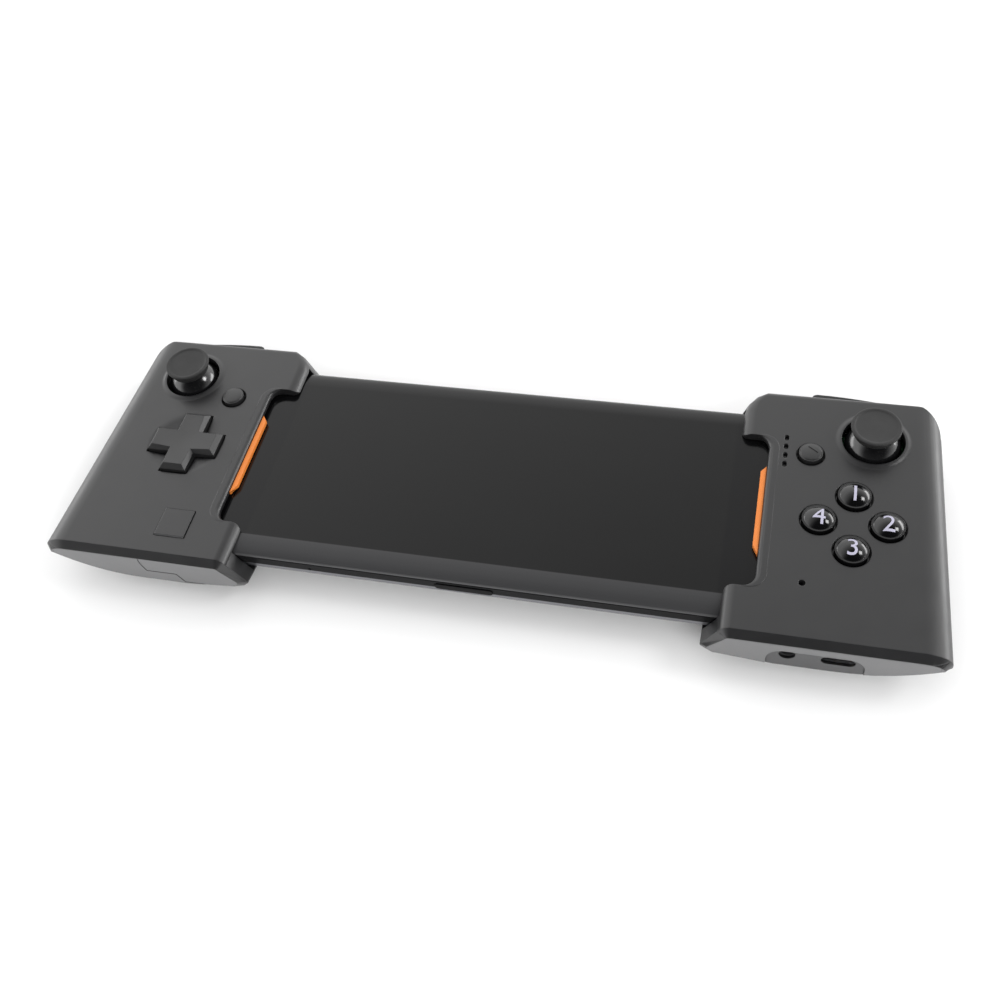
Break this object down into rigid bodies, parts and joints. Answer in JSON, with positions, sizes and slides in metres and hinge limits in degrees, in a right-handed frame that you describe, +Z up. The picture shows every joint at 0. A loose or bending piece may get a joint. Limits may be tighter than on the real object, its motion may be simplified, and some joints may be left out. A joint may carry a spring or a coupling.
{
  "type": "mobile game controller",
  "caption": "Clamp-on game controller for a phone: two grips with thumbsticks, direction pad, face buttons and triggers on a sprung sliding bridge, shown with a plain phone docked.",
  "frame": {"origin": "on the floor under the middle of the bounding box", "axes": "+X to the grip with the face buttons, +Y to the far side with the triggers, +Z up out of the screen"},
  "size_m": [0.2604, 0.0916, 0.0248],
  "materials": {
    "shell_plastic": "fine matte texture",
    "trim_silicone": "satin orange",
    "board_laminate": "solder mask",
    "keypad_silicone": "matte",
    "nylon": "matte black",
    "dome_plastic": "satin black",
    "cap_rubber": "soft matte",
    "pad_plastic": "satin",
    "face_gloss": "polished black",
    "trigger_plastic": "satin",
    "steel": "bright",
    "ribbon_film": "polyimide film",
    "light_acrylic": "smoked acrylic",
    "phone_metal": "bead blasted",
    "phone_glass": "polished black",
    "key_black": "satin black"
  },
  "bodies": {
    "left_grip": {"left_front_shell": "shell_plastic", "left_rear_shell": "shell_plastic", "left_bay_trim": "trim_silicone", "left_tile": "shell_plastic", "left_circuit_board": "board_laminate", "left_keypad": "keypad_silicone", "left_stick_base": "nylon", "left_trigger_pin": "steel", "left_trigger_spring": "steel", "left_case_screws": "steel", "dpad_base": "nylon", "bridge_tray": "nylon", "bridge_cover": "nylon", "bridge_springs": "steel", "bridge_ribbon": "ribbon_film", "phone_frame": "phone_metal", "phone_glass": "phone_glass", "phone_back": "phone_glass", "phone_side_key": "key_black"},
    "right_grip": {"right_front_shell": "shell_plastic", "right_rear_shell": "shell_plastic", "right_bay_trim": "trim_silicone", "right_circuit_board": "board_laminate", "right_keypad": "keypad_silicone", "right_stick_base": "nylon", "right_trigger_pin": "steel", "right_trigger_spring": "steel", "right_case_screws": "steel", "bridge_tongue": "steel", "light_pipe": "light_acrylic", "microphone": "steel", "port_panel": "trigger_plastic", "audio_jack": "nylon", "charge_port": "steel", "dock_plug": "nylon"},
    "left_stick_gimbal": {"left_stick_ring": "nylon"},
    "left_thumbstick": {"left_stick_stem": "dome_plastic", "left_stick_cap": "cap_rubber"},
    "left_bumper_key": {"left_bumper": "trigger_plastic"},
    "left_trigger_lever": {"left_trigger": "trigger_plastic"},
    "right_stick_gimbal": {"right_stick_ring": "nylon"},
    "right_thumbstick": {"right_stick_stem": "dome_plastic", "right_stick_cap": "cap_rubber"},
    "right_bumper_key": {"right_bumper": "trigger_plastic"},
    "right_trigger_lever": {"right_trigger": "trigger_plastic"},
    "dpad_cross": {"dpad_pivot": "nylon"},
    "direction_pad": {"dpad": "pad_plastic"},
    "menu_key": {"menu_button": "pad_plastic"},
    "start_key": {"start_button": "pad_plastic"},
    "face_key_north": {"face_button_north": "face_gloss"},
    "face_key_east": {"face_button_east": "face_gloss"},
    "face_key_south": {"face_button_south": "face_gloss"},
    "face_key_west": {"face_button_west": "face_gloss"}
  },
  "joints": [
    {"name": "right_grip_slide", "type": "slide", "parent": "left_grip", "child": "right_grip", "axis": [1, 0, 0], "range_m": [0, 0.022], "stiffness_N_per_m": 150, "springref_m": -0.03, "deforming": ["bridge_springs", "bridge_ribbon"]},
    {"name": "left_stick_tilt_y", "type": "hinge", "parent": "left_grip", "child": "left_stick_gimbal", "pos_m": [-0.108, 0.0247, 0.014], "axis": [1, 0, 0], "range_deg": [-15, 15], "stiffness_Nm_per_rad": 0.02},
    {"name": "left_stick_tilt_x", "type": "hinge", "parent": "left_stick_gimbal", "child": "left_thumbstick", "pos_m": [-0.108, 0.0247, 0.014], "axis": [0, 1, 0], "range_deg": [-15, 15], "stiffness_Nm_per_rad": 0.02},
    {"name": "left_bumper_press", "type": "slide", "parent": "left_grip", "child": "left_bumper_key", "axis": [0, -1, 0], "range_m": [0, 0.001], "stiffness_N_per_m": 800, "springref_m": -0.0008},
    {"name": "left_trigger_pull", "type": "hinge", "parent": "left_grip", "child": "left_trigger_lever", "pos_m": [-0.1032, 0.0363, 0.0098], "axis": [-1, 0, 0], "range_deg": [0, 12], "stiffness_Nm_per_rad": 0.06, "springref_deg": -8.59, "deforming": ["left_trigger_spring"]},
    {"name": "right_stick_tilt_y", "type": "hinge", "parent": "right_grip", "child": "right_stick_gimbal", "pos_m": [0.108, 0.0247, 0.014], "axis": [1, 0, 0], "range_deg": [-15, 15], "stiffness_Nm_per_rad": 0.02},
    {"name": "right_stick_tilt_x", "type": "hinge", "parent": "right_stick_gimbal", "child": "right_thumbstick", "pos_m": [0.108, 0.0247, 0.014], "axis": [0, 1, 0], "range_deg": [-15, 15], "stiffness_Nm_per_rad": 0.02},
    {"name": "right_bumper_press", "type": "slide", "parent": "right_grip", "child": "right_bumper_key", "axis": [0, -1, 0], "range_m": [0, 0.001], "stiffness_N_per_m": 800, "springref_m": -0.0008},
    {"name": "right_trigger_pull", "type": "hinge", "parent": "right_grip", "child": "right_trigger_lever", "pos_m": [0.1032, 0.0363, 0.0098], "axis": [-1, 0, 0], "range_deg": [0, 12], "stiffness_Nm_per_rad": 0.06, "springref_deg": -8.59, "deforming": ["right_trigger_spring"]},
    {"name": "dpad_tilt_y", "type": "hinge", "parent": "left_grip", "child": "dpad_cross", "pos_m": [-0.0994, -0.0028, 0.0146], "axis": [1, 0, 0], "range_deg": [-3.5, 3.5], "stiffness_Nm_per_rad": 0.05, "deforming": ["left_keypad"]},
    {"name": "dpad_tilt_x", "type": "hinge", "parent": "dpad_cross", "child": "direction_pad", "pos_m": [-0.0994, -0.0028, 0.0146], "axis": [0, 1, 0], "range_deg": [-3.5, 3.5], "stiffness_Nm_per_rad": 0.05, "deforming": ["left_keypad"]},
    {"name": "menu_press", "type": "slide", "parent": "left_grip", "child": "menu_key", "axis": [0, 0, -1], "range_m": [0, 0.0008], "stiffness_N_per_m": 600, "springref_m": -0.0006, "deforming": ["left_keypad"]},
    {"name": "start_press", "type": "slide", "parent": "right_grip", "child": "start_key", "axis": [0, 0, -1], "range_m": [0, 0.0008], "stiffness_N_per_m": 600, "springref_m": -0.0006, "deforming": ["right_keypad"]},
    {"name": "face_north_press", "type": "slide", "parent": "right_grip", "child": "face_key_north", "axis": [0, 0, -1], "range_m": [0, 0.0012], "stiffness_N_per_m": 600, "springref_m": -0.0006, "deforming": ["right_keypad"]},
    {"name": "face_east_press", "type": "slide", "parent": "right_grip", "child": "face_key_east", "axis": [0, 0, -1], "range_m": [0, 0.0012], "stiffness_N_per_m": 600, "springref_m": -0.0006, "deforming": ["right_keypad"]},
    {"name": "face_south_press", "type": "slide", "parent": "right_grip", "child": "face_key_south", "axis": [0, 0, -1], "range_m": [0, 0.0012], "stiffness_N_per_m": 600, "springref_m": -0.0006, "deforming": ["right_keypad"]},
    {"name": "face_west_press", "type": "slide", "parent": "right_grip", "child": "face_key_west", "axis": [0, 0, -1], "range_m": [0, 0.0012], "stiffness_N_per_m": 600, "springref_m": -0.0006, "deforming": ["right_keypad"]}
  ]
}
